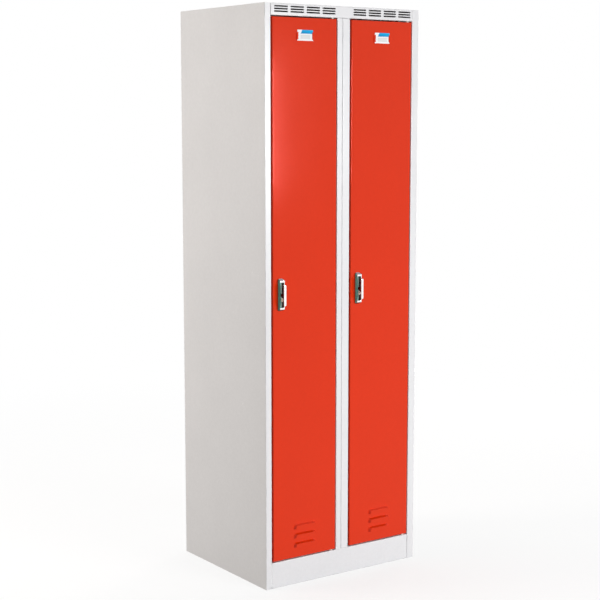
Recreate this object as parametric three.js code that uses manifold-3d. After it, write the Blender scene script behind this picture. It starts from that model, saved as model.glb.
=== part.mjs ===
// Changing room locker: two tall compartments side by side in one folded-sheet carcass.
// Millimetres, +Z up, +X to the right, doors facing -Y, standing on z = 0.
import * as THREE from "three";
import { mergeVertices } from "three/addons/utils/BufferGeometryUtils.js";
import Module from "manifold-3d";

const wasm = await Module();
wasm.setup();

// Overall size of the carcass
const height = 1830;
const depth = 500;
const moduleWidth = 300;
const moduleCount = 2;

// Sheet and clearances
const wall = 1;
const bendRadius = 2.5;
const fit = 0.3;
const overrun = 0.2;
const bendSteps = 4;
const roundSteps = 24;

// Front frame of one module, from its latch side to its hinge side
const latchStrip = 22.2;
const hingeStrip = 27.1;
const plinthHeight = 84;
const topRailHeight = 36.8;
const plinthFoot = 15;
const plinthJoint = 1.2;
const postJoint = -6.5;
const topRailFlange = 20;
const rearFlange = 20;
const postDepth = 25;
const rebateLip = 14;
const stiffeningLip = 12;

// Doors
const latchGap = 5.6;
const hingeGap = 2.7;
const endGap = 3.5;
const doorDepth = 20;
const doorLip = 12;
const pivotInset = 14;
const pivotSetback = 7;

// Pivots and their bushes
const pinDiameter = 5;
const pinReach = 10;
const pivotBlockWidth = 18;
const pivotBlockHeight = 24;
const pivotBlockChamfer = 4;
const bushDiameter = 8;
const bushFlangeDiameter = 10;
const bushSleeve = 6;

// Ventilation slots in the top rail, spread evenly over each module
const slotColumns = 4;
const slotRows = 3;
const slotBridge = 10;
const slotHeight = 4.6;
const slotRowPitch = 7.75;
const slotTopDrop = 9.2;
const slotEndSteps = 4;

// Pressed louvres low in each door, closed at the top and the ends and open under their lips
const louvreLength = 85;
const louvreHeight = 15;
const louvreRise = 8;
const louvreRun = 4.5;
const louvreCorner = 11;
const louvrePitch = 30;
const louvreTop = 197;
const louvreCount = 3;
const louvreRings = 4;

// Label card and the lanced tabs that hold it
const cardWidth = 59;
const cardHeight = 33;
const cardThickness = 0.6;
const cardDrop = 37.1;
const tabHeight = 25;
const tabFall = 3;
const tabCover = 3.2;
const tabRoot = 3;
const tabSlant = 4;

// Stiffener welded inside each door
const stiffenerCrown = 34;
const stiffenerDepth = 12;
const stiffenerFlange = 11;
const stiffenerBottom = 250;
const stiffenerTopDrop = 96;

// Latch housing
const latchInset = 27.7;
const latchRise = 1.9;
const housingHeight = 102;
const housingWidth = 17;
const housingDepth = 12;
const housingSlope = 6;
const housingCorner = 4;
const housingLip = 5.5;
const housingWall = 2;
const housingFloor = 3;
const recessCorner = 3;
const barrelDiameter = 16;
const barrelLength = 12;

// Padlock lug, part of the housing
const lugThickness = 2;
const lugWidth = 11;
const lugHole = 6.6;
const lugDrop = 14;
const lugReach = 4;
const lugWebGap = 0.5;

// Turn grip
const gripStand = 16;
const barHeight = 66;
const barWidth = 8.4;
const barDepth = 6;
const barBevel = 1.2;
const barNotch = 1.2;
const barNotchDepth = 0.6;
const webThickness = 4.5;
const webHeight = 60;
const webRootHeight = 42;
const webCorner = 3;
const hubDiameter = 12;
const spindleDiameter = 8.6;
const driveSquare = 6;
const studDiameter = 5.6;

// Tongue and its fastenings behind the door
const tongueThickness = 2;
const tongueWidth = 16;
const tongueReach = 32;
const washerDiameter = 12;
const washerThickness = 1.2;
const nutAcrossFlats = 10;
const nutThickness = 5;
const backNutAcrossFlats = 22;
const backNutThickness = 3;

// Rubber door buffers
const bufferDiameter = 10;
const bufferCrown = 1;
const bufferSteps = 16;
const bufferEndInset = 220;

// Inside each compartment
const partitionWall = 0.8;
const partitionSetback = 3;
const shelfHeight = 1490;
const shelfSetback = 30;
const shelfFold = 25;
const shelfReturn = 10;
const shelfFlange = 15;
const shelfFlangeInset = 8;
const hangingRailDrop = 62;
const hangingRailDiameter = 19;
const hangingRailWall = 1.5;
const socketPlateDiameter = 38;
const socketPlateThickness = 2.5;
const socketCupWall = 2.5;
const socketCupDepth = 12;

// Worked out from the sizes above
const width = moduleWidth * moduleCount;
const halfWidth = width / 2;
const openingBottom = plinthHeight;
const openingTop = height - topRailHeight;
const doorBottom = openingBottom + endGap;
const doorTop = openingTop - endGap;
const doorLeft = latchStrip + latchGap;
const doorRight = moduleWidth - hingeStrip - hingeGap;
const doorCentre = (doorLeft + doorRight) / 2;
const pivotX = doorRight - pivotInset;
const latchX = doorLeft + latchInset;
const latchZ = (doorBottom + doorTop) / 2 + latchRise;
const slotPitch = moduleWidth / (slotColumns + 1);
const slotLength = slotPitch - slotBridge;
const railReturn = postDepth - bendRadius - fit;
const panelEdge = halfWidth - wall - fit;
const backInner = depth - wall - fit - wall - fit;
const housingFront = -housingDepth;
const barFront = housingFront - gripStand;
const barBack = barFront + barDepth;
const tongueFront = postDepth + fit;
const washerFront = tongueFront + tongueThickness + fit;
const nutFront = washerFront + washerThickness + fit;
const studEnd = nutFront + nutThickness;
const floorTop = plinthHeight - wall - fit;
const hangingRailY = (shelfSetback + backInner) / 2;
const hangingRailZ = shelfHeight - hangingRailDrop;
const projection = -barFront;

const red = new THREE.MeshStandardMaterial({ color: 0xd8402a, roughness: 0.4, metalness: 0 });
const white = new THREE.MeshStandardMaterial({ color: 0xe6e5e4, roughness: 0.45, metalness: 0 });
const chrome = new THREE.MeshStandardMaterial({ color: 0xd9dbdc, roughness: 0.15, metalness: 1 });
const zinc = new THREE.MeshStandardMaterial({ color: 0xb9bcbe, roughness: 0.4, metalness: 1 });
const nylon = new THREE.MeshStandardMaterial({ color: 0xe4e0d6, roughness: 0.5, metalness: 0 });
const rubber = new THREE.MeshStandardMaterial({ color: 0x1d1d1e, roughness: 0.9, metalness: 0 });
const card = new THREE.MeshStandardMaterial({ color: 0xe9edf0, roughness: 0.6, metalness: 0 });

// A closed three.js geometry as a solid that can be joined and cut
function solid(geometry) {
  const plain = geometry.clone();
  plain.deleteAttribute("normal");
  plain.deleteAttribute("uv");
  const merged = mergeVertices(plain);
  return new wasm.Manifold(
    new wasm.Mesh({
      numProp: 3,
      vertProperties: merged.attributes.position.array,
      triVerts: new Uint32Array(merged.index.array),
    }),
  );
}

// A finished solid as a three.js geometry
function geometryOf(body) {
  const mesh = body.getMesh();
  const geometry = new THREE.BufferGeometry();
  geometry.setAttribute("position", new THREE.BufferAttribute(mesh.vertProperties, 3));
  geometry.setIndex(new THREE.BufferAttribute(mesh.triVerts, 1));
  geometry.computeVertexNormals();
  return geometry;
}

// A block between two limits on each axis
function block([x0, x1], [y0, y1], [z0, z1]) {
  const geometry = new THREE.BoxGeometry(x1 - x0, y1 - y0, z1 - z0);
  geometry.translate((x0 + x1) / 2, (y0 + y1) / 2, (z0 + z1) / 2);
  return solid(geometry);
}

// An outline drawn in x and y, run upwards from z0 to z1
function alongZ(shape, z0, z1) {
  const geometry = new THREE.ExtrudeGeometry(shape, { depth: z1 - z0, bevelEnabled: false });
  geometry.translate(0, 0, z0);
  return solid(geometry);
}

// An outline drawn in y and z, run sideways from x0 to x1
function alongX(shape, x0, x1) {
  const geometry = new THREE.ExtrudeGeometry(shape, { depth: x1 - x0, bevelEnabled: false });
  const turn = new THREE.Matrix4().makeBasis(
    new THREE.Vector3(0, 1, 0),
    new THREE.Vector3(0, 0, 1),
    new THREE.Vector3(1, 0, 0),
  );
  geometry.applyMatrix4(turn);
  geometry.translate(x0, 0, 0);
  return solid(geometry);
}

// An outline drawn in x and z, run backwards from y0 to y1, with an optional bevel on both ends
function alongY(shape, y0, y1, bevel = 0) {
  const geometry = new THREE.ExtrudeGeometry(shape, {
    depth: y1 - y0 - 2 * bevel,
    bevelEnabled: bevel > 0,
    bevelThickness: bevel,
    bevelSize: bevel,
    bevelOffset: -bevel,
    bevelSegments: 2,
  });
  const turn = new THREE.Matrix4().makeBasis(
    new THREE.Vector3(1, 0, 0),
    new THREE.Vector3(0, 0, 1),
    new THREE.Vector3(0, -1, 0),
  );
  geometry.applyMatrix4(turn);
  geometry.translate(0, y1 - bevel, 0);
  return solid(geometry);
}

// A round bar or disc with its axis along Y
function roundY(diameter, y0, y1, x = 0, z = 0, steps = roundSteps) {
  const geometry = new THREE.CylinderGeometry(diameter / 2, diameter / 2, y1 - y0, steps);
  geometry.translate(x, (y0 + y1) / 2, z);
  return solid(geometry);
}

// A round bar or disc with its axis along Z
function roundZ(diameter, z0, z1, x, y, steps = roundSteps) {
  const geometry = new THREE.CylinderGeometry(diameter / 2, diameter / 2, z1 - z0, steps);
  geometry.rotateX(Math.PI / 2);
  geometry.translate(x, y, (z0 + z1) / 2);
  return solid(geometry);
}

// A round bar or disc with its axis along X
function roundX(diameter, x0, x1, y, z, steps = roundSteps) {
  const geometry = new THREE.CylinderGeometry(diameter / 2, diameter / 2, x1 - x0, steps);
  geometry.rotateZ(Math.PI / 2);
  geometry.translate((x0 + x1) / 2, y, z);
  return solid(geometry);
}

// The points of an arc that rounds the corner at b between a and c
function cornerArc(a, b, c, radius, steps) {
  if (radius <= 0) {
    return [b];
  }
  const toA = a.clone().sub(b).normalize();
  const toC = c.clone().sub(b).normalize();
  const half = Math.acos(THREE.MathUtils.clamp(toA.dot(toC), -1, 1)) / 2;
  const middle = toA.clone().add(toC).normalize();
  const centre = b.clone().addScaledVector(middle, radius / Math.sin(half));
  const first = b.clone().addScaledVector(toA, radius / Math.tan(half)).sub(centre);
  const last = b.clone().addScaledVector(toC, radius / Math.tan(half)).sub(centre);
  const turn = Math.atan2(first.cross(last), first.dot(last));
  return Array.from({ length: steps + 1 }, (_, i) =>
    first.clone().rotateAround(new THREE.Vector2(0, 0), (turn * i) / steps).add(centre),
  );
}

// A closed outline with one radius per corner
function outline(points, radii, steps = bendSteps) {
  const corners = points.map(([x, y]) => new THREE.Vector2(x, y));
  const count = corners.length;
  const rounded = corners.flatMap((corner, i) =>
    cornerArc(
      corners[(i + count - 1) % count],
      corner,
      corners[(i + 1) % count],
      radii[i],
      steps,
    ),
  );
  return new THREE.Shape(rounded);
}

// A rectangle with all its corners rounded alike
function roundedRectangle([x0, x1], [y0, y1], radius, steps = bendSteps) {
  const corners = [
    [x0, y0],
    [x1, y0],
    [x1, y1],
    [x0, y1],
  ];
  return outline(corners, corners.map(() => radius), steps);
}

// A regular hexagon by its width across flats
function hexagon(acrossFlats) {
  const sides = 6;
  const radius = acrossFlats / 2 / Math.cos(Math.PI / sides);
  const corners = Array.from({ length: sides }, (_, i) => {
    const angle = (2 * Math.PI * i) / sides;
    return new THREE.Vector2(radius * Math.cos(angle), radius * Math.sin(angle));
  });
  return new THREE.Shape(corners);
}

// The section of a folded sheet. The path is one face, and the wall lies to its left.
function foldedSheet(path, thickness = wall, radius = bendRadius) {
  const face = path.map(([x, y]) => new THREE.Vector2(x, y));
  const last = face.length - 1;
  const leftOf = (i) => {
    const run = face[i + 1].clone().sub(face[i]).normalize();
    return new THREE.Vector2(-run.y, run.x);
  };
  const other = face.map((point, i) => {
    if (i === 0) {
      return point.clone().addScaledVector(leftOf(0), thickness);
    }
    if (i === last) {
      return point.clone().addScaledVector(leftOf(last - 1), thickness);
    }
    const before = leftOf(i - 1);
    const after = leftOf(i);
    const both = before.clone().add(after);
    return point.clone().addScaledVector(both, thickness / (1 + before.dot(after)));
  });
  const side = (points, innerOnLeft) =>
    points.flatMap((point, i) => {
      if (i === 0 || i === last) {
        return [point];
      }
      const turnsLeft = leftOf(i - 1).cross(leftOf(i)) > 0;
      const bend = turnsLeft === innerOnLeft ? radius - thickness : radius;
      return cornerArc(points[i - 1], point, points[i + 1], bend, bendSteps);
    });
  return new THREE.Shape([...side(face, false), ...side(other, true).reverse()]);
}

// A share run from 0 to 1 that starts and ends level
function eased(share) {
  return share * share * (3 - 2 * share);
}

// How steeply that share climbs
function easedSlope(share) {
  return 6 * share * (1 - share);
}

// A hood over an arched outline, whose front swells in rings to a flat face. Its foot, at z = 0
// or below it by an overrun, is cut square. All of it lies behind the louvre's own face by an
// offset, and its back is at y = back.
function hood(offset, back, footOverrun) {
  const rings = Array.from({ length: louvreRings + 1 }, (_, i) => {
    const share = i / louvreRings;
    const lean = Math.atan((louvreRise / louvreRun) * easedSlope(share));
    const inset = louvreRun * share + offset * Math.sin(lean);
    const side = louvreLength / 2 - inset;
    const top = louvreHeight - inset;
    const foot = new THREE.Vector2(side, -footOverrun);
    const corner = new THREE.Vector2(side, top);
    const crown = new THREE.Vector2(0, top);
    const arc = cornerArc(foot, corner, crown, louvreCorner - inset, bendSteps);
    const right = [foot, ...arc];
    const left = right.map((point) => new THREE.Vector2(-point.x, point.y)).reverse();
    const y = offset * Math.cos(lean) - louvreRise * eased(share);
    return [...right, ...left].map((point) => [point.x, y, point.y]);
  });
  const layers = [rings[0].map(([x, , z]) => [x, back, z]), ...rings];
  const across = rings[0].length;
  const last = layers.length - 1;
  const at = (layer, i) => layer * across + i;
  const faces = [];
  for (let layer = 0; layer < last; layer += 1) {
    for (let i = 0; i < across; i += 1) {
      const next = (i + 1) % across;
      faces.push(at(layer, i), at(layer, next), at(layer + 1, next));
      faces.push(at(layer, i), at(layer + 1, next), at(layer + 1, i));
    }
  }
  for (let i = 1; i < across - 1; i += 1) {
    faces.push(at(0, 0), at(0, i + 1), at(0, i));
    faces.push(at(last, 0), at(last, i), at(last, i + 1));
  }
  const geometry = new THREE.BufferGeometry();
  const places = new Float32Array(layers.flat(2));
  geometry.setAttribute("position", new THREE.BufferAttribute(places, 3));
  geometry.setIndex(faces);
  return geometry;
}

// Every mesh hangs in this group, whose origin is the middle of the front edge of the base
const locker = new THREE.Group();

function place(group, name, body, material) {
  const mesh = new THREE.Mesh(geometryOf(body), material);
  mesh.name = name;
  group.add(mesh);
}

// Side panels, with the front strip, its return and the rear flange folded from one sheet
function leftSidePanel() {
  const strip = -halfWidth + latchStrip;
  const path = [
    [-halfWidth + rearFlange, depth],
    [-halfWidth, depth],
    [-halfWidth, 0],
    [strip, 0],
    [strip, postDepth - wall],
    [strip + rebateLip, postDepth - wall],
  ];
  return alongZ(foldedSheet(path), 0, height);
}

function rightSidePanel() {
  const strip = halfWidth - hingeStrip;
  const path = [
    [strip + stiffeningLip, postDepth],
    [strip, postDepth],
    [strip, 0],
    [halfWidth, 0],
    [halfWidth, depth],
    [halfWidth - rearFlange, depth],
  ];
  return alongZ(foldedSheet(path), 0, height);
}

// Centre posts between the plinth and the top rail. Their joint lies beside the partition.
const postBottom = openingBottom + fit;
const postTop = openingTop - fit;

function leftCentrePost() {
  const path = [
    [-hingeStrip + stiffeningLip, postDepth],
    [-hingeStrip, postDepth],
    [-hingeStrip, 0],
    [postJoint - fit / 2, 0],
    [postJoint - fit / 2, postDepth],
  ];
  return alongZ(foldedSheet(path), postBottom, postTop);
}

function rightCentrePost() {
  const path = [
    [postJoint + fit / 2, postDepth],
    [postJoint + fit / 2, 0],
    [latchStrip, 0],
    [latchStrip, postDepth - wall],
    [latchStrip + rebateLip, postDepth - wall],
  ];
  return alongZ(foldedSheet(path), postBottom, postTop);
}

// The left edge of each module
const moduleEdges = Array.from({ length: moduleCount }, (_, i) => -halfWidth + moduleWidth * i);
const railLeft = -halfWidth + latchStrip + fit;
const railRight = halfWidth - hingeStrip;

function bushHoles(z) {
  return moduleEdges.map((edge) =>
    roundZ(bushDiameter + 2 * fit, z - wall - overrun, z + wall + overrun, edge + pivotX, pivotSetback),
  );
}

// The plinth stands on its turned-in foot and carries the lower bushes in its top return.
// Its joint with the right strip is wide enough to show as a line.
function plinth() {
  const path = [
    [railReturn, plinthHeight],
    [0, plinthHeight],
    [0, 0],
    [plinthFoot, 0],
  ];
  const sheet = alongX(foldedSheet(path), railLeft, railRight - plinthJoint);
  return bushHoles(plinthHeight).reduce((body, hole) => body.subtract(hole), sheet);
}

// The top rail, with rows of ventilation slots over each door
function topRail() {
  const path = [
    [topRailFlange, height],
    [0, height],
    [0, openingTop],
    [railReturn, openingTop],
  ];
  const sheet = alongX(foldedSheet(path), railLeft, railRight - fit);
  const cutters = bushHoles(openingTop);
  for (const edge of moduleEdges) {
    const middle = edge + moduleWidth / 2;
    for (let column = 0; column < slotColumns; column += 1) {
      const x = middle + (column - (slotColumns - 1) / 2) * slotPitch;
      for (let row = 0; row < slotRows; row += 1) {
        const z = height - slotTopDrop - row * slotRowPitch;
        const slot = roundedRectangle(
          [x - slotLength / 2, x + slotLength / 2],
          [z - slotHeight / 2, z + slotHeight / 2],
          slotHeight / 2 - fit,
          slotEndSteps,
        );
        cutters.push(alongY(slot, -overrun, wall + overrun));
      }
    }
  }
  return cutters.reduce((body, cutter) => body.subtract(cutter), sheet);
}

// Room in a flat panel for the folded front corners of the side panels
function clearCorners(body, z) {
  const rebate = -halfWidth + latchStrip + rebateLip + fit;
  const strip = halfWidth - hingeStrip - fit;
  const leftNotch = block([-halfWidth, rebate], [-overrun, postDepth + fit], z);
  const rightNotch = block([strip, halfWidth], [-overrun, postDepth + fit], z);
  return body.subtract(leftNotch).subtract(rightNotch);
}

function topPanel() {
  const path = [
    [backInner, height - topRailFlange],
    [backInner, height],
    [topRailFlange + fit, height],
  ];
  const sheet = alongX(foldedSheet(path), -panelEdge, panelEdge);
  const flangeRun = [postDepth + shelfFlangeInset, backInner - shelfFlangeInset];
  const flangeRise = [height - topRailFlange, height - wall / 2];
  const body = sheet
    .add(block([-panelEdge, -panelEdge + wall], flangeRun, flangeRise))
    .add(block([panelEdge - wall, panelEdge], flangeRun, flangeRise));
  return clearCorners(body, [height - 2 * topRailFlange, height + overrun]);
}

function floorPanel() {
  const sheet = block(
    [-panelEdge, panelEdge],
    [bendRadius + fit, backInner],
    [floorTop - wall, floorTop],
  );
  const pierced = bushHoles(floorTop).reduce((body, hole) => body.subtract(hole), sheet);
  return clearCorners(pierced, [0, height]);
}

function rearBaseRail() {
  const top = floorTop - wall - fit;
  const path = [
    [backInner - rearFlange, 0],
    [backInner, 0],
    [backInner, top],
    [backInner - rearFlange, top],
  ];
  return alongX(foldedSheet(path), -panelEdge, panelEdge);
}

function backPanel() {
  const edge = halfWidth - bendRadius - fit;
  return block([-edge, edge], [backInner + fit, backInner + fit + wall], [wall, height - wall]);
}

// The partition is notched in front round the returns of the plinth and the top rail
function partition() {
  const notch = railReturn + fit;
  const corners = [
    [partitionSetback, postBottom],
    [notch, postBottom],
    [notch, floorTop + fit],
    [backInner - wall - fit, floorTop + fit],
    [backInner - wall - fit, height - wall - fit],
    [notch, height - wall - fit],
    [notch, postTop],
    [partitionSetback, postTop],
  ];
  const radii = [0, 0, 0, bendRadius, bendRadius, 0, 0, 0];
  return alongX(outline(corners, radii), -partitionWall / 2, partitionWall / 2);
}

// The clear width inside one compartment, between two limits
function compartment(index) {
  const outer = halfWidth - wall - fit;
  const inner = partitionWall / 2 + fit;
  return index === 0 ? [-outer, -inner] : [inner, outer];
}

function hatShelf([x0, x1]) {
  const rear = backInner - wall - fit;
  const path = [
    [rear, shelfHeight - shelfFlange],
    [rear, shelfHeight],
    [shelfSetback, shelfHeight],
    [shelfSetback, shelfHeight - shelfFold],
    [shelfSetback + shelfReturn, shelfHeight - shelfFold],
  ];
  const flangeRun = [shelfSetback + shelfFlangeInset, rear - shelfFlangeInset];
  const flangeRise = [shelfHeight - shelfFlange, shelfHeight - wall / 2];
  return alongX(foldedSheet(path), x0, x1)
    .add(block([x0, x0 + wall], flangeRun, flangeRise))
    .add(block([x1 - wall, x1], flangeRun, flangeRise));
}

// The hanging rail is a tube that drops into a cup at each end
function hangingRail([x0, x1]) {
  const start = x0 + socketPlateThickness + fit;
  const end = x1 - socketPlateThickness - fit;
  const bore = hangingRailDiameter - 2 * hangingRailWall;
  return roundX(hangingRailDiameter, start, end, hangingRailY, hangingRailZ).subtract(
    roundX(bore, start - overrun, end + overrun, hangingRailY, hangingRailZ),
  );
}

function railSocket(wallFace, inwards) {
  const seat = hangingRailDiameter + 2 * fit;
  const cup = seat + 2 * socketCupWall;
  const plate = wallFace + inwards * socketPlateThickness;
  const rim = plate + inwards * socketCupDepth;
  const span = (a, b) => [Math.min(a, b), Math.max(a, b)];
  const [p0, p1] = span(wallFace, plate);
  const [c0, c1] = span(wallFace, rim);
  const [b0, b1] = span(plate, rim + inwards * overrun);
  return roundX(socketPlateDiameter, p0, p1, hangingRailY, hangingRailZ)
    .add(roundX(cup, c0, c1, hangingRailY, hangingRailZ))
    .subtract(roundX(seat, b0, b1, hangingRailY, hangingRailZ))
    .subtract(
      block(
        [b0, b1],
        [hangingRailY - seat / 2, hangingRailY + seat / 2],
        [hangingRailZ, hangingRailZ + cup],
      ),
    );
}

// From here to the buffers, x runs from the left edge of one module
// A pan with rounded front edges: two rounded sections crossed, at a given inset
function panBody(inset, front, back) {
  const radius = bendRadius - inset;
  const x0 = doorLeft + inset;
  const x1 = doorRight - inset;
  const z0 = doorBottom + inset;
  const z1 = doorTop - inset;
  const radii = [radius, radius, 0, 0];
  const section = outline(
    [
      [x0, front],
      [x1, front],
      [x1, back],
      [x0, back],
    ],
    radii,
  );
  const side = outline(
    [
      [front, z1],
      [front, z0],
      [back, z0],
      [back, z1],
    ],
    radii,
  );
  return alongZ(section, z0, z1).intersect(alongX(side, x0, x1));
}

// The pressing of one louvre: the sheet that it adds and the room behind it
function louvre(index) {
  const foot = louvreTop - louvreHeight - index * louvrePitch;
  const pressed = hood(0, wall / 2, 0).translate(doorCentre, 0, foot);
  const hollow = hood(wall, wall + overrun, overrun).translate(doorCentre, 0, foot);
  return { pressed: solid(pressed), hollow: solid(hollow) };
}

// One lanced tab beside the label card. It stands clear of the card and laps over its edge.
function labelTab(towards) {
  const cardEdge = doorCentre - (towards * cardWidth) / 2;
  const middle = doorTop - cardDrop - cardHeight / 2 - tabFall;
  const root = cardEdge - towards * (tabRoot + fit);
  const tip = cardEdge + towards * tabCover;
  const front = -(cardThickness + 2 * fit + wall);
  const top = middle + tabHeight / 2;
  const bottom = middle - tabHeight / 2;
  const corners = [
    [root, bottom],
    [tip, bottom + tabSlant],
    [tip, top],
    [root, top],
  ];
  const ordered = towards > 0 ? corners : corners.reverse();
  const plate = alongY(outline(ordered, ordered.map(() => wall)), front, wall / 2);
  const slotStart = cardEdge - towards * fit;
  const slotEnd = tip + towards * overrun;
  const slot = block(
    [Math.min(slotStart, slotEnd), Math.max(slotStart, slotEnd)],
    [front + wall, 0],
    [bottom - overrun, top + overrun],
  );
  return plate.subtract(slot);
}

function door() {
  const outer = panBody(0, 0, doorDepth);
  const hollow = panBody(wall, wall, doorDepth - wall);
  const mouth = block(
    [doorLeft + doorLip, doorRight - doorLip],
    [doorDepth - 2 * wall, doorDepth + overrun],
    [doorBottom + wall, doorTop - wall],
  );
  let body = outer.subtract(hollow).subtract(mouth);
  for (let i = 0; i < louvreCount; i += 1) {
    const { pressed, hollow: room } = louvre(i);
    body = body.add(pressed).subtract(room);
  }
  body = body.add(labelTab(1)).add(labelTab(-1));
  const barrelHole = roundY(barrelDiameter + 2 * fit, -overrun, wall + overrun, latchX, latchZ);
  const pinHole = pinDiameter + 2 * fit;
  const pinHoles = roundZ(pinHole, doorBottom - overrun, doorTop + overrun, pivotX, pivotSetback);
  return body.subtract(barrelHole).subtract(pinHoles);
}

function stiffener() {
  const x = doorCentre;
  const foot = wall + fit;
  const crown = foot + stiffenerDepth;
  const path = [
    [x + stiffenerCrown / 2 + stiffenerFlange, foot],
    [x + stiffenerCrown / 2, foot],
    [x + stiffenerCrown / 2, crown - wall],
    [x - stiffenerCrown / 2, crown - wall],
    [x - stiffenerCrown / 2, foot],
    [x - stiffenerCrown / 2 - stiffenerFlange, foot],
  ];
  const section = foldedSheet(path.reverse());
  return alongZ(section, stiffenerBottom, doorTop - stiffenerTopDrop);
}

function labelCard() {
  const top = doorTop - cardDrop;
  return block(
    [doorCentre - cardWidth / 2, doorCentre + cardWidth / 2],
    [-fit - cardThickness, -fit],
    [top - cardHeight, top],
  );
}

// A block welded in the corner of the door with its pin through the door's end return.
// Outwards is +1 at the top of the door and -1 at its foot.
function pivot(outwards) {
  const doorEnd = outwards > 0 ? doorTop : doorBottom;
  const frameEnd = outwards > 0 ? openingTop : openingBottom;
  const near = doorEnd - outwards * (wall + fit);
  const far = near - outwards * pivotBlockHeight;
  const pinEnd = frameEnd + outwards * pinReach;
  const half = pivotBlockWidth / 2;
  const front = bendRadius + fit;
  const back = doorDepth - wall - fit;
  const corners = [
    [pivotX - half, front],
    [pivotX + half, front],
    [pivotX + half, back],
    [pivotX - half + pivotBlockChamfer, back],
    [pivotX - half, back - pivotBlockChamfer],
  ];
  const section = outline(corners, corners.map(() => 0));
  const lug = alongZ(section, Math.min(near, far), Math.max(near, far));
  const [pinLow, pinHigh] = [Math.min(far, pinEnd), Math.max(far, pinEnd)];
  return lug.add(roundZ(pinDiameter, pinLow, pinHigh, pivotX, pivotSetback));
}

// A flanged bush in the frame, turned about the pivot line
function bush(outwards) {
  const frameEnd = outwards > 0 ? openingTop : openingBottom;
  const bore = pinDiameter / 2 + fit;
  const flangeFar = endGap - fit;
  const profile = [
    [bore, -flangeFar],
    [bushFlangeDiameter / 2, -flangeFar],
    [bushFlangeDiameter / 2, -fit],
    [bushDiameter / 2, -fit],
    [bushDiameter / 2, bushSleeve],
    [bore, bushSleeve],
    [bore, -flangeFar],
  ].map(([radius, along]) => new THREE.Vector2(radius, along));
  const geometry = new THREE.LatheGeometry(profile, roundSteps);
  geometry.rotateX((outwards * Math.PI) / 2);
  geometry.translate(pivotX, pivotSetback, frameEnd);
  return solid(geometry);
}

// A crowned rubber button on the front of the rebate lip, turned about its own axis
function buffer(z) {
  const front = doorDepth + fit;
  const back = postDepth - wall - fit;
  const radius = bufferDiameter / 2;
  const profile = [
    [0, front],
    [radius - bufferCrown, front],
    [radius, front + bufferCrown],
    [radius, back],
    [0, back],
  ].map(([out, along]) => new THREE.Vector2(out, along));
  const geometry = new THREE.LatheGeometry(profile, bufferSteps);
  geometry.translate(latchStrip + rebateLip / 2, 0, z);
  return solid(geometry);
}

// From here on, the latch's own centre is at x = 0 and z = 0
// The housing: a long shallow cup with sloped ends, a barrel behind and the padlock lug
function latchHousing() {
  const back = -fit;
  const half = housingHeight / 2;
  const slopeEnd = half - housingSlope;
  const profile = outline(
    [
      [back, half],
      [housingFront, slopeEnd],
      [housingFront, -slopeEnd],
      [back, -half],
    ],
    [0, wall, wall, 0],
  );
  const face = roundedRectangle(
    [-housingWidth / 2, housingWidth / 2],
    [-half, half],
    housingCorner,
  );
  const recessHalf = slopeEnd - housingLip;
  const recessSide = housingWidth / 2 - housingWall;
  const recess = roundedRectangle(
    [-recessSide, recessSide],
    [-recessHalf, recessHalf],
    recessCorner,
  );
  const floorFace = -housingFloor;
  const shell = alongX(profile, -housingWidth / 2, housingWidth / 2)
    .intersect(alongY(face, housingFront, back))
    .subtract(alongY(recess, housingFront - overrun, floorFace))
    .add(roundY(barrelDiameter, floorFace + wall, barrelLength));
  const lugFace = -webThickness / 2 - lugWebGap;
  const lugBack = lugFace - lugThickness;
  const lugCentre = housingFront - lugReach;
  const lugHalf = lugWidth / 2;
  const lug = block(
    [lugBack, lugFace],
    [lugCentre, floorFace + wall],
    [-lugDrop - lugHalf, -lugDrop + lugHalf],
  )
    .add(roundX(lugWidth, lugBack, lugFace, lugCentre, -lugDrop))
    .subtract(roundX(lugHole, lugBack - overrun, lugFace + overrun, lugCentre, -lugDrop));
  const bore = roundY(spindleDiameter + 2 * fit, housingFront, barrelLength + overrun);
  return shell.add(lug).subtract(bore);
}

// The grip: a round-ended bar on a tapered web, its hub in the housing and its spindle through the door
function turnGrip() {
  const bar = roundedRectangle(
    [-barWidth / 2, barWidth / 2],
    [-barHeight / 2, barHeight / 2],
    barWidth / 2 - fit,
    2 * bendSteps,
  );
  const webFoot = housingFront - lugWebGap;
  const web = outline(
    [
      [webFoot, webRootHeight / 2],
      [barBack - wall, webHeight / 2],
      [barBack - wall, -webHeight / 2],
      [webFoot, -webRootHeight / 2],
    ],
    [webCorner, 0, 0, webCorner],
  );
  const notch = block(
    [-barWidth, barWidth],
    [barFront - overrun, barFront + barNotchDepth],
    [-barNotch / 2, barNotch / 2],
  );
  const drive = driveSquare / 2;
  return alongY(bar, barFront, barBack, barBevel)
    .subtract(notch)
    .add(alongX(web, -webThickness / 2, webThickness / 2))
    .add(roundY(hubDiameter, webFoot - wall, -housingFloor - fit))
    .add(roundY(spindleDiameter, -housingFloor - 2 * fit, postDepth))
    .add(block([-drive, drive], [postDepth - wall, washerFront - fit], [-drive, drive]))
    .add(roundY(studDiameter, washerFront - wall, studEnd));
}

// The tongue stands up at rest, and lies behind the rebate lip after a quarter turn
function tongue() {
  const half = tongueWidth / 2;
  const hole = driveSquare / 2 + fit;
  const plate = roundedRectangle([-half, half], [-half, tongueReach], half / 2);
  const squareHole = block(
    [-hole, hole],
    [tongueFront - overrun, tongueFront + tongueThickness + overrun],
    [-hole, hole],
  );
  return alongY(plate, tongueFront, tongueFront + tongueThickness).subtract(squareHole);
}

function ring(body, bore, y0, y1) {
  return body.subtract(roundY(bore, y0 - overrun, y1 + overrun));
}

function tongueWasher() {
  const y1 = washerFront + washerThickness;
  const disc = roundY(washerDiameter, washerFront, y1);
  return ring(disc, studDiameter + 2 * fit, washerFront, y1);
}

function tongueNut() {
  const y1 = nutFront + nutThickness;
  const body = alongY(hexagon(nutAcrossFlats), nutFront, y1);
  return ring(body, studDiameter + 2 * fit, nutFront, y1);
}

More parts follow.
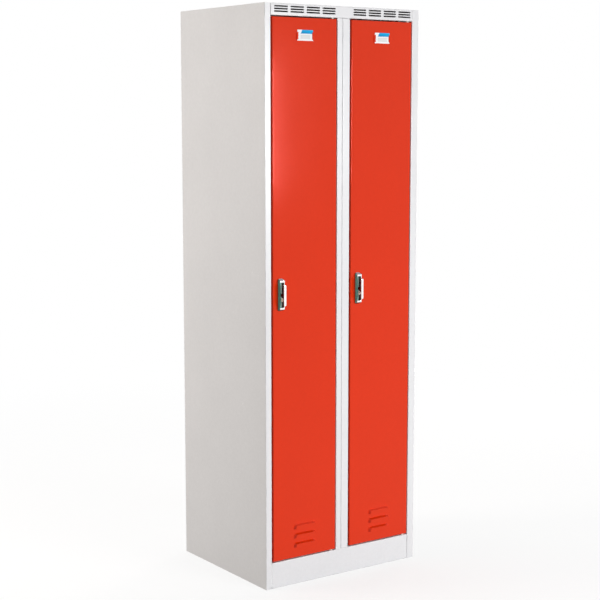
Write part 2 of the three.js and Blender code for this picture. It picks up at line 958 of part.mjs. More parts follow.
function backNut() {
  const y0 = wall + fit;
  const y1 = y0 + backNutThickness;
  const body = alongY(hexagon(backNutAcrossFlats), y0, y1);
  return ring(body, barrelDiameter + 2 * fit, y0, y1);
}

place(locker, "left_side_panel", leftSidePanel(), white);
place(locker, "right_side_panel", rightSidePanel(), white);
place(locker, "back_panel", backPanel(), white);
place(locker, "top_panel", topPanel(), white);
place(locker, "floor_panel", floorPanel(), white);
place(locker, "centre_partition", partition(), white);
place(locker, "left_centre_post", leftCentrePost(), white);
place(locker, "right_centre_post", rightCentrePost(), white);
place(locker, "top_rail", topRail(), white);
place(locker, "plinth", plinth(), white);
place(locker, "rear_base_rail", rearBaseRail(), white);

const sideNames = ["left", "right"];
moduleEdges.forEach((edge, index) => {
  const side = sideNames[index];
  const clear = compartment(index);
  place(locker, `${side}_hat_shelf`, hatShelf(clear), white);
  place(locker, `${side}_hanging_rail`, hangingRail(clear), chrome);
  place(locker, `${side}_rail_outer_socket`, railSocket(clear[index], index === 0 ? 1 : -1), zinc);
  place(locker, `${side}_rail_inner_socket`, railSocket(clear[1 - index], index === 0 ? -1 : 1), zinc);

  const unit = new THREE.Group();
  unit.position.x = edge;
  locker.add(unit);
  place(unit, `${side}_upper_bush`, bush(1), nylon);
  place(unit, `${side}_lower_bush`, bush(-1), nylon);
  place(unit, `${side}_upper_buffer`, buffer(doorTop - bufferEndInset), rubber);
  place(unit, `${side}_lower_buffer`, buffer(doorBottom + bufferEndInset), rubber);
  place(unit, `${side}_door`, door(), red);
  place(unit, `${side}_door_stiffener`, stiffener(), red);
  place(unit, `${side}_label_card`, labelCard(), card);
  place(unit, `${side}_upper_pivot`, pivot(1), zinc);
  place(unit, `${side}_lower_pivot`, pivot(-1), zinc);

  const latch = new THREE.Group();
  latch.position.set(latchX, 0, latchZ);
  unit.add(latch);
  place(latch, `${side}_latch_housing`, latchHousing(), chrome);
  place(latch, `${side}_latch_back_nut`, backNut(), zinc);
  place(latch, `${side}_turn_grip`, turnGrip(), chrome);
  place(latch, `${side}_latch_tongue`, tongue(), zinc);
  place(latch, `${side}_tongue_washer`, tongueWasher(), zinc);
  place(latch, `${side}_tongue_nut`, tongueNut(), zinc);
});

// The part's origin is the middle of its whole footprint, grips included
locker.position.y = -(depth - projection) / 2;

const part = new THREE.Group();
part.add(locker);

export default part;
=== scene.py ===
# Changing room locker: finishes, small details, light and camera for two steel compartments
# with red doors. Metres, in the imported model's own frame: doors face -Y, floor at z = 0.
import math

import bmesh
import bpy
from mathutils import Matrix, Vector

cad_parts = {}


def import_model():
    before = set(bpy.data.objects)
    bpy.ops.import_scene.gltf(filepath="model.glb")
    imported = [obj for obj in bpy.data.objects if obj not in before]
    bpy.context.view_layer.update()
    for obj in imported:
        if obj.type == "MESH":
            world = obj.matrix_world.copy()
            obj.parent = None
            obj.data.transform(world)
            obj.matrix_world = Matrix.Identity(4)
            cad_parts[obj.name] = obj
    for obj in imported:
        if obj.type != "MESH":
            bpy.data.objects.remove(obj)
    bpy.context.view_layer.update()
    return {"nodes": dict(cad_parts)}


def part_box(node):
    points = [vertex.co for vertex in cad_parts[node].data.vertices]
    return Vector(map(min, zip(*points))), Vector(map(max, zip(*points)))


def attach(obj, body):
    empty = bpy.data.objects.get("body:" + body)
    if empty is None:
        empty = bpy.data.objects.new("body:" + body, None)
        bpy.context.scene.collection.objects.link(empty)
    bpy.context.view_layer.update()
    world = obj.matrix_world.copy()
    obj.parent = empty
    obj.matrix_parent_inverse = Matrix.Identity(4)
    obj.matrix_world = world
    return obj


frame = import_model()
nodes = frame["nodes"]

MM = 0.001

# Camera, worked out from the locker's six outer corners in a picture 600 pixels wide
PICTURE_WIDTH = 600
FOCAL_PIXELS = 1412.5
SENSOR_WIDTH = 36
CAMERA_PLACE = Vector((-2.6885, -3.8318, 1.5047))
CAMERA_YAW = math.radians(35.008)
CAMERA_PITCH = math.radians(-7.602)

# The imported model's sheet, the clearance between its pieces and the depth of its front posts
SHEET = 1 * MM
FIT = 0.3 * MM
POST_DEPTH = 25 * MM

# Softened edges, by finish, then what counts as an edge, as flat and as a seam
EDGE_RADIUS = {
    "white_paint": 0.25 * MM,
    "red_paint": 0.25 * MM,
    "chrome": 0.4 * MM,
    "zinc": 0.2 * MM,
    "nylon": 0.2 * MM,
    "rubber": 0.3 * MM,
    "label_card": 0.1 * MM,
}
EDGE_ANGLE = math.radians(32)
EDGE_SEGMENTS = 2
FLAT_WEIGHT = 100
FLAT_ANGLE = math.radians(0.5)
SEAM_REACH = 0.01 * MM


class Wire:
    """An output of a node, whose arithmetic adds Math nodes."""

    def __init__(self, shade, socket):
        self.shade = shade
        self.socket = socket

    def math(self, operation, first, second):
        return self.shade.node("ShaderNodeMath", {"operation": operation}, {0: first, 1: second})

    def __add__(self, other):
        return self.math("ADD", self, other)

    def __sub__(self, other):
        return self.math("SUBTRACT", self, other)

    def __rsub__(self, other):
        return self.math("SUBTRACT", other, self)

    def __mul__(self, other):
        return self.math("MULTIPLY", self, other)

    def __truediv__(self, other):
        return self.math("DIVIDE", self, other)

    def __lt__(self, other):
        return self.math("LESS_THAN", self, other)

    def __gt__(self, other):
        return self.math("GREATER_THAN", self, other)

    def larger(self, other):
        return self.math("MAXIMUM", self, other)

    def size(self):
        return self.math("ABSOLUTE", self, 0)

    __radd__ = __add__
    __rmul__ = __mul__


class Shade:
    """A node tree that is filled by plain calls."""

    def __init__(self, owner):
        owner.use_nodes = True
        self.owner = owner
        self.tree = owner.node_tree
        self.tree.nodes.clear()

    def node(self, kind, settings=None, sockets=None, output=0):
        made = self.tree.nodes.new(kind)
        for name, value in (settings or {}).items():
            setattr(made, name, value)
        for name, value in (sockets or {}).items():
            if isinstance(value, Wire):
                self.tree.links.new(value.socket, made.inputs[name])
            else:
                made.inputs[name].default_value = value
        return Wire(self, made.outputs[output]) if made.outputs else made

    def place(self):
        return self.node("ShaderNodeTexCoord", output="Object")

    def stretched(self, place, scale):
        return self.node("ShaderNodeMapping", {}, {"Vector": place, "Scale": scale})

    def axis(self, place, name):
        return self.node("ShaderNodeSeparateXYZ", {}, {"Vector": place}, name)

    def noise(self, place, grain, detail=2, roughness=0.5):
        sockets = {"Vector": place, "Scale": 1 / grain, "Detail": detail, "Roughness": roughness}
        return self.node("ShaderNodeTexNoise", {}, sockets)

    def ramp(self, value, start, end):
        """0 before start, 1 beyond end, and smooth between."""
        kind = {"interpolation_type": "SMOOTHSTEP"}
        sockets = {"Value": value, "From Min": start, "From Max": end}
        return self.node("ShaderNodeMapRange", kind, sockets)

    def mix(self, share, first, second):
        kind = {"data_type": "RGBA"}
        return self.node("ShaderNodeMix", kind, {0: share, 6: first, 7: second}, 2)

    def bump(self, height, rise, under=None):
        sockets = {"Height": height, "Distance": rise, "Strength": 1}
        if under:
            sockets["Normal"] = under
        return self.node("ShaderNodeBump", {}, sockets)

    def surface(self, sockets):
        shader = self.node("ShaderNodeBsdfPrincipled", {}, sockets)
        self.node("ShaderNodeOutputMaterial", {}, {"Surface": shader})
        return self.owner


def srgb(red, green, blue):
    """A colour given as screen values from 0 to 255, as the linear colour that shaders take."""

    def linear(value):
        share = value / 255
        return share / 12.92 if share <= 0.04045 else ((share + 0.055) / 1.055) ** 2.4

    return (linear(red), linear(green), linear(blue), 1)


def toned(colour, share):
    return tuple(channel * share for channel in colour[:3]) + (1,)


def new_shade(name):
    return Shade(bpy.data.materials.new(name))


# The value that every noise sways about
NOISE_MIDDLE = 0.5

# Powder coat, as thick as 80 micrometres, over sheet that is never quite flat
COAT_GRAIN = 1.6 * MM
COAT_RISE = 0.004 * MM
SPECKLE_GRAIN = 8 * MM
SPECKLE_SHARE = 0.6
CLOUD_GRAIN = 180 * MM
CLOUD_SHARE = 0.4
SHEET_SWAY_GRAIN = 260 * MM
SHEET_SWAY_RISE = 0.5 * MM
WHITE = srgb(226, 226, 228)
RED = srgb(217, 51, 12)
CLEAR_GLOSS = (1, 1, 1, 1)
RED_GLOSS = (1, 0.2, 0.18, 1)


def powder_coat(name, colour, tone_share, roughness, blur_share, specular, gloss=CLEAR_GLOSS):
    shade = new_shade(name)
    place = shade.place()
    speckle = shade.noise(place, SPECKLE_GRAIN, detail=3, roughness=0.6)
    cloud = shade.noise(place, CLOUD_GRAIN)
    peel = shade.noise(place, COAT_GRAIN, detail=1)
    sway = shade.noise(place, SHEET_SWAY_GRAIN, detail=1)
    tone = speckle * SPECKLE_SHARE + cloud * CLOUD_SHARE
    blur = (speckle - NOISE_MIDDLE) * blur_share + (cloud - NOISE_MIDDLE) * blur_share
    return shade.surface(
        {
            "Base Color": shade.mix(
                tone,
                toned(colour, 1 - tone_share),
                toned(colour, 1 + tone_share),
            ),
            "Roughness": roughness + blur,
            "Normal": shade.bump(sway, SHEET_SWAY_RISE, under=shade.bump(peel, COAT_RISE)),
            "Specular IOR Level": specular,
            "Specular Tint": gloss,
        }
    )


# Plated metal. Cast chrome is polished on its front, and less so down its flanks and recess. The
# colours of a housing's left flank and rim, recess and end slopes, and of a grip's left side, are
# painted reflection and painted shade.
CHROME = srgb(248, 249, 250)
CHROME_FLANK = srgb(138, 146, 146)
# Painted reflection: teal on the housing's left flank and left rim, in place of what the chrome
# mirrors there
FLANK_LEFT_PAINTED_REFLECTION = srgb(92, 205, 192)
RIM_LEFT_PAINTED_REFLECTION = srgb(86, 172, 160)
# Painted shade and painted reflection of the red door in the housing's recess
RECESS_PAINTED_SHADE_AND_REFLECTION = srgb(112, 44, 42)
# Painted reflection, grey-green, on the recess floor
RECESS_FLOOR_PAINTED_REFLECTION = srgb(110, 120, 113)
# Painted reflection, pale grey, on the housing's end slopes
SLOPE_PAINTED_REFLECTION = srgb(172, 190, 200)
# Painted shade and painted reflection of the red door on the lower end slope
SLOPE_FOOT_PAINTED_SHADE_AND_REFLECTION = srgb(134, 58, 42)
CHROME_LUG = srgb(255, 246, 234)
# Painted shade and painted reflection of the red door down the left of a grip's bar and web
GRIP_LEFT_PAINTED_SHADE_AND_REFLECTION = srgb(128, 44, 36)
SMUDGED_SHARE = 0.94
CHROME_ROUGHNESS = 0.07
SMUDGE_GRAIN = 9 * MM
SMUDGE_BLUR = 0.1
SCRATCH_STRETCH = (1, 1, 0.04)
SCRATCH_GRAIN = 0.25 * MM
SCRATCH_RISE = 0.002 * MM
SCRATCH_BLUR = 0.04

# The metal share and the added roughness of the cast areas
FLANK_METAL_SHARE = 0.05
FLANK_BLUR = 0.25
RECESS_METAL_SHARE = 0.6
RECESS_BLUR = 0.3
RECESS_FLOOR_METAL_SHARE = 0.3
SLOPE_METAL_SHARE = 0.15
SLOPE_BLUR = 0.2
LUG_BLUR = 0.8
GRIP_LEFT_BLUR = 0.1

# Places of those areas. The housing stands 12 mm proud of its door, with side walls 2 mm thick.
# Its recess is 9 mm deep and reaches 39.5 mm up and down from its middle, and its end slopes
# start at 45 mm. The values for these three have 0.2 to 0.4 mm to spare. Depths go back from
# the housing's flat face, or from the front of a grip's bar.
HOUSING_RISE = 12 * MM
HOUSING_WALL = 2 * MM
HOUSING_RECESS_DEPTH = 9.2 * MM
HOUSING_FLOOR_DEPTH = 8.6 * MM
HOUSING_RECESS_HALF = 39.8 * MM
HOUSING_SLOPE_START = 44.8 * MM
BAR_DEPTH = 6 * MM
WEB_DEPTH = 10 * MM
POLISH_DEPTH = 1.2 * MM
POLISH_FADE = 0.8 * MM
AREA_MARGIN = 0.4 * MM


def plated(shade, place, areas=()):
    """Chrome whose areas each have a mask, a colour, a metal share and an added roughness."""
    smudge = shade.noise(place, SMUDGE_GRAIN, detail=3)
    scratch = shade.noise(shade.stretched(place, SCRATCH_STRETCH), SCRATCH_GRAIN, detail=1)
    colour = shade.mix(smudge, toned(CHROME, SMUDGED_SHARE), CHROME)
    roughness = CHROME_ROUGHNESS + smudge * SMUDGE_BLUR + scratch * SCRATCH_BLUR
    metallic = 1
    added = 0
    for mask, area_colour, metal_share, blur in areas:
        colour = shade.mix(mask, colour, area_colour)
        metallic = metallic * (1 - mask) + mask * metal_share
        added = added * (1 - mask) + mask * blur
    return shade.surface(
        {
            "Base Color": colour,
            "Metallic": metallic,
            "Roughness": roughness + added,
            "Normal": shade.bump(scratch, SCRATCH_RISE),
        }
    )


def chrome_plate(name):
    shade = new_shade(name)
    return plated(shade, shade.place())


def housing_chrome(name, node, front):
    """Finish of a latch housing whose flat face lies at y = front, with painted reflection on its
    left flank and rim, recess, recess floor and end slopes, and painted shade in its recess and
    on its lower slope.
    """
    low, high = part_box(node)
    shade = new_shade(name)
    place = shade.place()
    rightwards = shade.axis(place, "X") - (low.x + high.x) / 2
    upwards = shade.axis(place, "Z") - (low.z + high.z) / 2
    across = rightwards.size()
    along = upwards.size()
    left = rightwards < 0
    deep = shade.axis(place, "Y") - front
    behind = shade.ramp(deep, POLISH_DEPTH, POLISH_DEPTH + POLISH_FADE)
    half = (high.x - low.x) / 2
    beside = along < HOUSING_RECESS_HALF
    flank = behind * (across > half - AREA_MARGIN)
    rim = left * beside * (across > half - HOUSING_WALL - AREA_MARGIN)
    recess = (
        behind
        * beside
        * (across < half - HOUSING_WALL + AREA_MARGIN)
        * (deep < HOUSING_RECESS_DEPTH)
    )
    recess_floor = recess * (deep > HOUSING_FLOOR_DEPTH)
    slope = (along > HOUSING_SLOPE_START) * (across < half - AREA_MARGIN)
    slope_foot = slope * (upwards < 0)
    lug = deep < -AREA_MARGIN
    # Colours of the rim, left flank, recess, recess floor and slopes are painted reflection and
    # painted shade
    areas = (
        (rim, RIM_LEFT_PAINTED_REFLECTION, FLANK_METAL_SHARE, FLANK_BLUR),
        (flank, CHROME_FLANK, FLANK_METAL_SHARE, FLANK_BLUR),
        (flank * left, FLANK_LEFT_PAINTED_REFLECTION, FLANK_METAL_SHARE, FLANK_BLUR),
        (recess, RECESS_PAINTED_SHADE_AND_REFLECTION, RECESS_METAL_SHARE, RECESS_BLUR),
        (recess_floor, RECESS_FLOOR_PAINTED_REFLECTION, RECESS_FLOOR_METAL_SHARE, RECESS_BLUR),
        (slope, SLOPE_PAINTED_REFLECTION, SLOPE_METAL_SHARE, SLOPE_BLUR),
        (slope_foot, SLOPE_FOOT_PAINTED_SHADE_AND_REFLECTION, SLOPE_METAL_SHARE, SLOPE_BLUR),
        (lug, CHROME_LUG, 1, LUG_BLUR),
    )
    return plated(shade, place, areas)


def grip_chrome(name, node):
    """Finish of a turn grip, with painted shade and painted reflection of the red door down the
    left of its bar and web.
    """
    low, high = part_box(node)
    shade = new_shade(name)
    place = shade.place()
    depth = shade.axis(place, "Y") - low.y
    # The left of the bar and web, coloured with painted shade and painted reflection
    side = (
        shade.ramp(depth, POLISH_DEPTH, POLISH_DEPTH + POLISH_FADE)
        * (depth < BAR_DEPTH + WEB_DEPTH)
        * (shade.axis(place, "X") < (low.x + high.x) / 2)
    )
    return plated(shade, place, ((side, GRIP_LEFT_PAINTED_SHADE_AND_REFLECTION, 1, GRIP_LEFT_BLUR),))


ZINC = srgb(196, 198, 196)
ZINC_WARM = srgb(204, 199, 182)
ZINC_ROUGHNESS = 0.26
ZINC_GRAIN = 5 * MM
ZINC_BLUR = 0.16
ZINC_PIT_GRAIN = 0.7 * MM
ZINC_PIT_RISE = 0.01 * MM
ZINC_PIT_BLUR = 0.08


def zinc_plate(name):
    shade = new_shade(name)
    place = shade.place()
    cloud = shade.noise(place, ZINC_GRAIN, detail=3, roughness=0.6)
    pits = shade.noise(place, ZINC_PIT_GRAIN)
    return shade.surface(
        {
            "Base Color": shade.mix(cloud, ZINC, ZINC_WARM),
            "Metallic": 1,
            "Roughness": ZINC_ROUGHNESS + cloud * ZINC_BLUR + pits * ZINC_PIT_BLUR,
            "Normal": shade.bump(pits, ZINC_PIT_RISE),
        }
    )


# Moulded plastic and rubber
NYLON = srgb(226, 222, 212)
RUBBER = srgb(27, 27, 28)
MOULD_DARK_SHARE = 0.88
MOULD_LIGHT_SHARE = 1.06
MOULD_GRAIN = 0.6 * MM
MOULD_RISE = 0.015 * MM
MOULD_BLUR = 0.14


def moulded(name, colour, roughness):
    shade = new_shade(name)
    place = shade.place()
    grain = shade.noise(place, MOULD_GRAIN)
    bloom = shade.noise(place, SMUDGE_GRAIN)
    dark = toned(colour, MOULD_DARK_SHARE)
    light = toned(colour, MOULD_LIGHT_SHARE)
    return shade.surface(
        {
            "Base Color": shade.mix(bloom, dark, light),
            "Roughness": roughness + (grain - NOISE_MIDDLE) * MOULD_BLUR,
            "Normal": shade.bump(grain, MOULD_RISE),
        }
    )


# Label card: a blue stripe along the top with a bare field at its left end, over a pale form
CARD_WHITE = srgb(247, 248, 250)
CARD_GREY = srgb(224, 226, 226)
CARD_BLUE = srgb(0, 182, 240)
CARD_BLUE_DEEP = srgb(0, 120, 185)
CARD_ROUGHNESS = 0.42
CARD_SPECULAR = 0.12
STRIPE_SHARE = 0.35
BARE_TOP_SHARE = 0.317
BARE_FOOT_SHARE = 0.21
FORM_LEFT_SHARE = 0.187
FORM_RIGHT_SHARE = 0.82
FORM_TOP_SHARE = 0.445
FORM_FOOT_SHARE = 0.82
FORM_FADE_SHARE = 0.02
INK_ACROSS_SHARE = 0.5
INK_DOWN_SHARE = 1.8
FIBRE_GRAIN = 0.8 * MM
FIBRE_RISE = 0.01 * MM
FIBRE_BLUR = 0.12
FIBRE_TONE_SHARE = 0.15


def printed_card(name, node):
    low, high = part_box(node)
    shade = new_shade(name)
    place = shade.place()
    across = (shade.axis(place, "X") - low.x) / (high.x - low.x)
    down = (high.z - shade.axis(place, "Z")) / (high.z - low.z)
    slant = (BARE_TOP_SHARE - BARE_FOOT_SHARE) / STRIPE_SHARE
    inked = (down < STRIPE_SHARE) * (across > BARE_TOP_SHARE - down * slant)
    form = (
        shade.ramp(across, FORM_LEFT_SHARE, FORM_LEFT_SHARE + FORM_FADE_SHARE)
        * shade.ramp(across, FORM_RIGHT_SHARE + FORM_FADE_SHARE, FORM_RIGHT_SHARE)
        * shade.ramp(down, FORM_TOP_SHARE, FORM_TOP_SHARE + FORM_FADE_SHARE)
        * shade.ramp(down, FORM_FOOT_SHARE + FORM_FADE_SHARE, FORM_FOOT_SHARE)
    )
    fibre = shade.noise(place, FIBRE_GRAIN, detail=3)
    greyed = form * (1 - FIBRE_TONE_SHARE + fibre * FIBRE_TONE_SHARE)
    paper = shade.mix(greyed, CARD_WHITE, CARD_GREY)
    lighter = across * INK_ACROSS_SHARE + (STRIPE_SHARE - down) * INK_DOWN_SHARE
    ink = shade.mix(lighter, CARD_BLUE_DEEP, CARD_BLUE)
    return shade.surface(
        {
            "Base Color": shade.mix(inked, paper, ink),
            "Roughness": CARD_ROUGHNESS + fibre * FIBRE_BLUR,
            "Normal": shade.bump(fibre, FIBRE_RISE),
            "Specular IOR Level": CARD_SPECULAR,
        }
    )


finishes = {
    "white_paint": powder_coat(
        "white_paint_finish",
        WHITE,
        tone_share=0.08,
        roughness=0.25,
        blur_share=0.06,
        specular=0.6,
    ),
    "red_paint": powder_coat(
        "red_paint_finish",
        RED,
        tone_share=0.07,
        roughness=0.09,
        blur_share=0.03,
        specular=0.85,
        gloss=RED_GLOSS,
    ),
    "chrome": chrome_plate("chrome_finish"),
    "zinc": zinc_plate("zinc_finish"),
    "nylon": moulded("nylon_finish", NYLON, roughness=0.5),
    "rubber": moulded("rubber_finish", RUBBER, roughness=0.8),
}


# A latch's back nut is clamped 1.3 mm behind the front of its door
NUT_SETBACK = 1.3 * MM


def finish_of(name, slot):
    if slot == "label_card":
        return printed_card(f"{name}_finish", name)
    if name.endswith("latch_housing"):
        door_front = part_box(name.replace("latch_housing", "latch_back_nut"))[0].y - NUT_SETBACK
        return housing_chrome(f"{name}_finish", name, door_front - HOUSING_RISE)
    if name.endswith("turn_grip"):
        return grip_chrome(f"{name}_finish", name)
    return finishes[slot]


def dress(name, node):
    """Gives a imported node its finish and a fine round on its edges."""
    slot = node.data.materials[0].name.split(".")[0]
    node.data.materials[0] = finish_of(name, slot)
    node.data.attributes.remove(node.data.attributes["custom_normal"])
    node.data.shade_smooth()
    weld = node.modifiers.new("seams", "WELD")
    weld.merge_threshold = SEAM_REACH
    flats = node.modifiers.new("flats", "DECIMATE")
    flats.decimate_type = "DISSOLVE"
    flats.angle_limit = FLAT_ANGLE
    edges = node.modifiers.new("edges", "BEVEL")
    edges.width = EDGE_RADIUS[slot]
    edges.segments = EDGE_SEGMENTS
    edges.limit_method = "ANGLE"
    edges.angle_limit = EDGE_ANGLE
    edges.harden_normals = True
    level = node.modifiers.new("level", "WEIGHTED_NORMAL")
    level.weight = FLAT_WEIGHT


for node_name, packed_node in nodes.items():
    dress(node_name, packed_node)


def new_piece(name, mesh, finish):
    data = bpy.data.meshes.new(name)
    mesh.to_mesh(data)
    mesh.free()
    piece = bpy.data.objects.new(name, data)
    bpy.context.scene.collection.objects.link(piece)
    data.materials.append(finish)
    return piece


# Small fastenings. A profile gives radius and height in millimetres, and is turned round.
TURN_STEPS = 20
DOUBLES_REACH = 0.001 * MM
RIVET_REACH = 15.7 * MM
RIVET_PROFILE = (
    (0, 0.35),
    (1.1, 0.3),
    (1.15, 0.95),
    (1.6, 1.15),
    (2.5, 0.9),
    (3.1, 0.25),
    (3.1, -0.1),
    (0, -0.1),
)
SOCKET_PLATE = 2.5 * MM
WELD_PITCH = 150 * MM
WELD_END = 20 * MM
WELD_INSET = 5.5 * MM
WELD_PROFILE = (
    (0, 0.02),
    (1.3, 0.03),
    (1.9, 0.16),
    (2.5, 0.1),
    (2.9, -0.05),
    (0, -0.05),
)
BARREL_RADIUS = 8 * MM
THREAD_STEPS = 28
THREAD_PITCH = 1.5 * MM
THREAD_RISE = 0.4 * MM
THREAD_SINK = 0.2 * MM
THREAD_HALF_SHARE = 0.36
THREAD_CLEAR = 0.5 * MM


def seated(place, direction):
    """The transform that moves a shape made along +Z to a place, and turns it to a direction."""
    turn = Vector((0, 0, 1)).rotation_difference(Vector(direction))
    return Matrix.Translation(place) @ turn.to_matrix().to_4x4()


def turn_profile(mesh, profile, place, direction):
    points = [mesh.verts.new((radius * MM, 0, height * MM)) for radius, height in profile]
    edges = [mesh.edges.new(pair) for pair in zip(points, points[1:])]
    before = set(mesh.verts) - set(points)
    bmesh.ops.spin(
        mesh,
        geom=points + edges,
        axis=(0, 0, 1),
        cent=(0, 0, 0),
        angle=math.tau,
        steps=TURN_STEPS,
        use_merge=True,
    )
    made = [point for point in mesh.verts if point not in before]
    bmesh.ops.transform(mesh, matrix=seated(place, direction), verts=made)


def put_in_order(elements, place_of):
    """Orders points or faces by place, because spinning leaves another order on each run."""
    for index, element in enumerate(sorted(elements, key=place_of)):
        element.index = index
    elements.sort()


def finished(name, mesh, body, slot):
    """Closes a mesh's seams, turns its faces outwards and sets it on its body."""
    bmesh.ops.remove_doubles(mesh, verts=mesh.verts, dist=DOUBLES_REACH)
    bmesh.ops.recalc_face_normals(mesh, faces=mesh.faces)
    put_in_order(mesh.verts, lambda point: tuple(point.co))
    put_in_order(mesh.faces, lambda face: tuple(face.calc_center_median()))
    piece = new_piece(name, mesh, finishes[slot])
    piece.data.shade_smooth()
    edges = piece.modifiers.new("edges", "EDGE_SPLIT")
    edges.split_angle = EDGE_ANGLE
    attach(piece, body)


def socket_rivets(side, reach):
    """Two blind rivets through the plate of a hanging rail's socket."""
    low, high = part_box(f"{side}_rail_{reach}_socket")
    rail_low, rail_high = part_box(f"{side}_hanging_rail")
    inwards = 1 if low.x < rail_low.x else -1
    plate = (low.x if inwards > 0 else high.x) + inwards * SOCKET_PLATE
    middle = (low + high) / 2
    mesh = bmesh.new()
    for turn in (-1, 1):
        place = Vector((plate, middle.y + turn * RIVET_REACH, middle.z))
        turn_profile(mesh, RIVET_PROFILE, place, (inwards, 0, 0))
    finished(f"{side}_rail_{reach}_rivets", mesh, "carcass", "zinc")


def stiffener_welds(side):
    """The marks of the spot welds that hold a stiffener's flanges to its door."""
    low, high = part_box(f"{side}_door_stiffener")
    flange = low.y + SHEET
    run = high.z - low.z - 2 * WELD_END
    count = round(run / WELD_PITCH) + 1
    mesh = bmesh.new()
    for x in (low.x + WELD_INSET, high.x - WELD_INSET):
        for index in range(count):
            z = low.z + WELD_END + run * index / (count - 1)
            turn_profile(mesh, WELD_PROFILE, Vector((x, flange, z)), (0, 1, 0))
    finished(f"{side}_stiffener_welds", mesh, f"{side}_door", "red_paint")


def barrel_thread(side):
    """The thread on a latch's barrel, from its back nut to its end."""
    nut_low, nut_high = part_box(f"{side}_latch_back_nut")
    nut_middle = (nut_low + nut_high) / 2
    start = nut_high.y + THREAD_CLEAR
    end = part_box(f"{side}_latch_housing")[1].y - THREAD_CLEAR
    turns = (end - start) / THREAD_PITCH - 2 * THREAD_HALF_SHARE
    steps = round(turns * THREAD_STEPS)
    half = THREAD_PITCH * THREAD_HALF_SHARE
    mesh = bmesh.new()
    points = [
        mesh.verts.new((BARREL_RADIUS - THREAD_SINK, 0, 0)),
        mesh.verts.new((BARREL_RADIUS + THREAD_RISE, 0, half)),
        mesh.verts.new((BARREL_RADIUS - THREAD_SINK, 0, 2 * half)),
    ]
    edges = [mesh.edges.new(pair) for pair in zip(points, points[1:] + points[:1])]
    bmesh.ops.spin(
        mesh,
        geom=points + edges,
        axis=(0, 0, 1),
        cent=(0, 0, 0),
        angle=math.tau * turns,
        steps=steps,
        dvec=(0, 0, THREAD_PITCH * turns / steps),
    )
    ends = [edge for edge in mesh.edges if edge.is_boundary]
    bmesh.ops.holes_fill(mesh, edges=ends, sides=len(points))
    place = Vector((nut_middle.x, start, nut_middle.z))
    bmesh.ops.transform(mesh, matrix=seated(place, (0, 1, 0)), verts=mesh.verts)
    finished(f"{side}_barrel_thread", mesh, f"{side}_door", "chrome")


# Caps in the open tops of the side panels' folded front corners
CAP_SHEET = 1.2 * MM
CAP_SINK = 0.3 * MM
CAP_CORNER = 1.6 * MM
CAP_CORNER_STEPS = 6
ROUND_PROFILE = 0.5


def corner_cap(side):
    """A plate between the folds of a side panel's front strip, rounded at its front corners."""
    low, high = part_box(f"{side}_side_panel")
    rail_low, rail_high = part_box("top_rail")
    if side == "left":
        left = low.x + SHEET
        right = rail_low.x - FIT - SHEET
        rear = low.y + POST_DEPTH
    else:
        left = rail_high.x + FIT + SHEET
        right = high.x - SHEET
        rear = low.y + POST_DEPTH - SHEET
    top = high.z - CAP_SINK
    start = Vector((left, low.y + SHEET, top - CAP_SHEET))
    end = Vector((right, rear, top))
    middle = (start + end) / 2
    mesh = bmesh.new()
    bmesh.ops.create_cube(mesh, size=1)
    bmesh.ops.scale(mesh, vec=end - start, verts=mesh.verts)
    bmesh.ops.translate(mesh, vec=middle, verts=mesh.verts)
    corners = [
        edge
        for edge in mesh.edges
        if edge.calc_length() < 2 * CAP_SHEET and edge.verts[0].co.y < middle.y
    ]
    bmesh.ops.bevel(
        mesh,
        geom=corners,
        offset=CAP_CORNER,
        segments=CAP_CORNER_STEPS,
        profile=ROUND_PROFILE,
        affect="EDGES",
        material=-1,
    )
    finished(f"{side}_corner_cap", mesh, "carcass", "white_paint")


for side_name in ("left", "right"):
    for reach_name in ("outer", "inner"):
        socket_rivets(side_name, reach_name)
    stiffener_welds(side_name)
    barrel_thread(side_name)
    corner_cap(side_name)


# Floor and world, both white to the camera and in reflections
FLOOR_REACH = 60
FLOOR_SHADOW_SHARE = 0.22
FLOOR_SHADOW_START = 0.5
FLOOR_SHADOW_REACH = 3.5
BACKDROP_WHITE = (1, 1, 1, 1)
FLOOR_BOUNCE = srgb(140, 137, 133)
SKY_HORIZON = 0.5
SKY_ZENITH = 0.12


def seen_directly(shade):
    """1 for what the camera, a mirror or a pane shows, 0 for what only lights the object."""
    path = shade.node("ShaderNodeLightPath").socket.node
    names = ("Is Camera Ray", "Is Glossy Ray", "Is Transmission Ray")
    camera_ray, glossy_ray, clear_ray = (Wire(shade, path.outputs[name]) for name in names)
    return camera_ray.larger(glossy_ray).larger(clear_ray)


def floor_finish():
    """White that takes the object's shadow near it, and only glows further out."""
    shade = new_shade("floor_finish")
    place = shade.place()
    reach = shade.node("ShaderNodeVectorMath", {"operation": "LENGTH"}, {0: place}, "Value")
    far = shade.ramp(reach, FLOOR_SHADOW_START, FLOOR_SHADOW_REACH)
    shaded_share = (1 - far) * FLOOR_SHADOW_SHARE
    lit = shade.node("ShaderNodeBsdfDiffuse", {}, {"Color": BACKDROP_WHITE})
    glow = shade.node("ShaderNodeEmission", {}, {"Color": BACKDROP_WHITE, "Strength": 1})
    bounce = shade.node("ShaderNodeBsdfDiffuse", {}, {"Color": FLOOR_BOUNCE})
    shown = shade.node("ShaderNodeMixShader", {}, {0: shaded_share, 1: glow, 2: lit})
    ground = shade.node("ShaderNodeMixShader", {}, {0: seen_directly(shade), 1: bounce, 2: shown})
    shade.node("ShaderNodeOutputMaterial", {}, {"Surface": ground})
    return shade.owner


def floor():
    mesh = bmesh.new()
    bmesh.ops.create_grid(mesh, x_segments=1, y_segments=1, size=FLOOR_REACH)
    new_piece("floor", mesh, floor_finish())


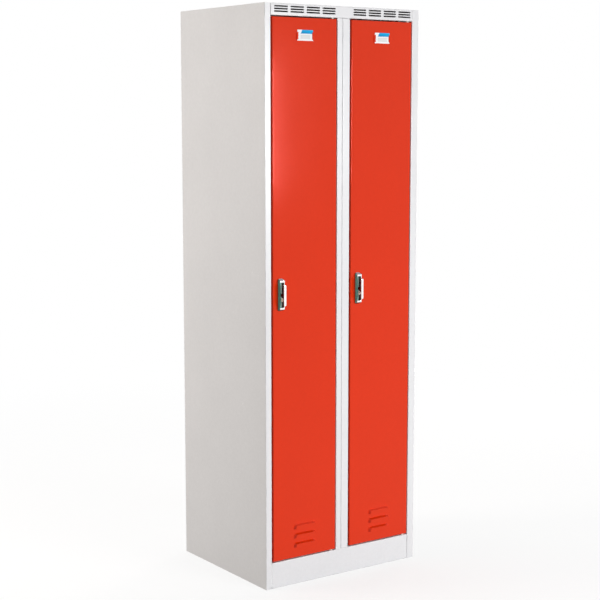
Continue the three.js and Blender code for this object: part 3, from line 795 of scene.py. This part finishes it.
def world():
    """A sky that lights the object from its horizon more than from above."""
    made = bpy.data.worlds.new("studio")
    bpy.context.scene.world = made
    shade = Shade(made)
    up = shade.axis(shade.node("ShaderNodeTexCoord", output="Generated"), "Z")
    level = SKY_HORIZON - shade.ramp(up, 0, 1) * (SKY_HORIZON - SKY_ZENITH)
    light = shade.node("ShaderNodeBackground", {}, {"Color": BACKDROP_WHITE, "Strength": level})
    shown = shade.node("ShaderNodeBackground", {}, {"Color": BACKDROP_WHITE, "Strength": 1})
    sky = shade.node("ShaderNodeMixShader", {}, {0: seen_directly(shade), 1: light, 2: shown})
    shade.node("ShaderNodeOutputWorld", {}, {"Surface": sky})


def aimed(place, target):
    turn = (Vector(target) - Vector(place)).to_track_quat("-Z", "Y")
    return Matrix.Translation(place) @ turn.to_matrix().to_4x4()


def lamp(name, place, target, size, power, colour=(1, 1, 1), mirrored=True):
    """A soft rectangular lamp. One that isn't mirrored doesn't show in glossy surfaces."""
    data = bpy.data.lights.new(name, "AREA")
    data.shape = "RECTANGLE"
    data.size, data.size_y = size
    data.energy = power
    data.color = colour
    made = bpy.data.objects.new(name, data)
    made.matrix_world = aimed(place, target)
    made.visible_camera = False
    made.visible_glossy = mirrored
    bpy.context.scene.collection.objects.link(made)


def lamps():
    lamp(
        "front_lamp",
        place=(2.14, -6.2, 1.4),
        target=(0, -0.2, 1.0),
        size=(2.5, 1.0),
        power=254,
        colour=(0.99, 0.995, 1),
    )
    lamp(
        "low_lamp",
        place=(0.1, -2.3, 0.3),
        target=(0.1, -0.2, 0.3),
        size=(1.2, 0.4),
        power=10.5,
        colour=(1, 0.99, 1),
        mirrored=False,
    )
    lamp(
        "side_lamp",
        place=(-3.3, 1.9, 1.75),
        target=(-0.3, 0.1, 1.2),
        size=(1.4, 1.4),
        power=83,
        colour=(1, 0.93, 0.86),
    )
    lamp(
        "fill_lamp",
        place=(3.3, 1.9, 1.75),
        target=(0.3, 0.1, 1.2),
        size=(1.4, 1.4),
        power=42,
        colour=(1, 0.98, 0.95),
        mirrored=False,
    )
    lamp("top_lamp", place=(0, 1.1, 6.0), target=(0, 1.1, 0), size=(2.4, 2.4), power=110)


def camera():
    data = bpy.data.cameras.new("camera")
    data.sensor_width = SENSOR_WIDTH
    data.lens = FOCAL_PIXELS / PICTURE_WIDTH * SENSOR_WIDTH
    made = bpy.data.objects.new("camera", data)
    ahead = Vector((
        math.sin(CAMERA_YAW) * math.cos(CAMERA_PITCH),
        math.cos(CAMERA_YAW) * math.cos(CAMERA_PITCH),
        math.sin(CAMERA_PITCH),
    ))
    made.matrix_world = aimed(CAMERA_PLACE, CAMERA_PLACE + ahead)
    bpy.context.scene.collection.objects.link(made)
    bpy.context.scene.camera = made


floor()
world()
lamps()
camera()
bpy.context.scene.view_settings.view_transform = "Standard"
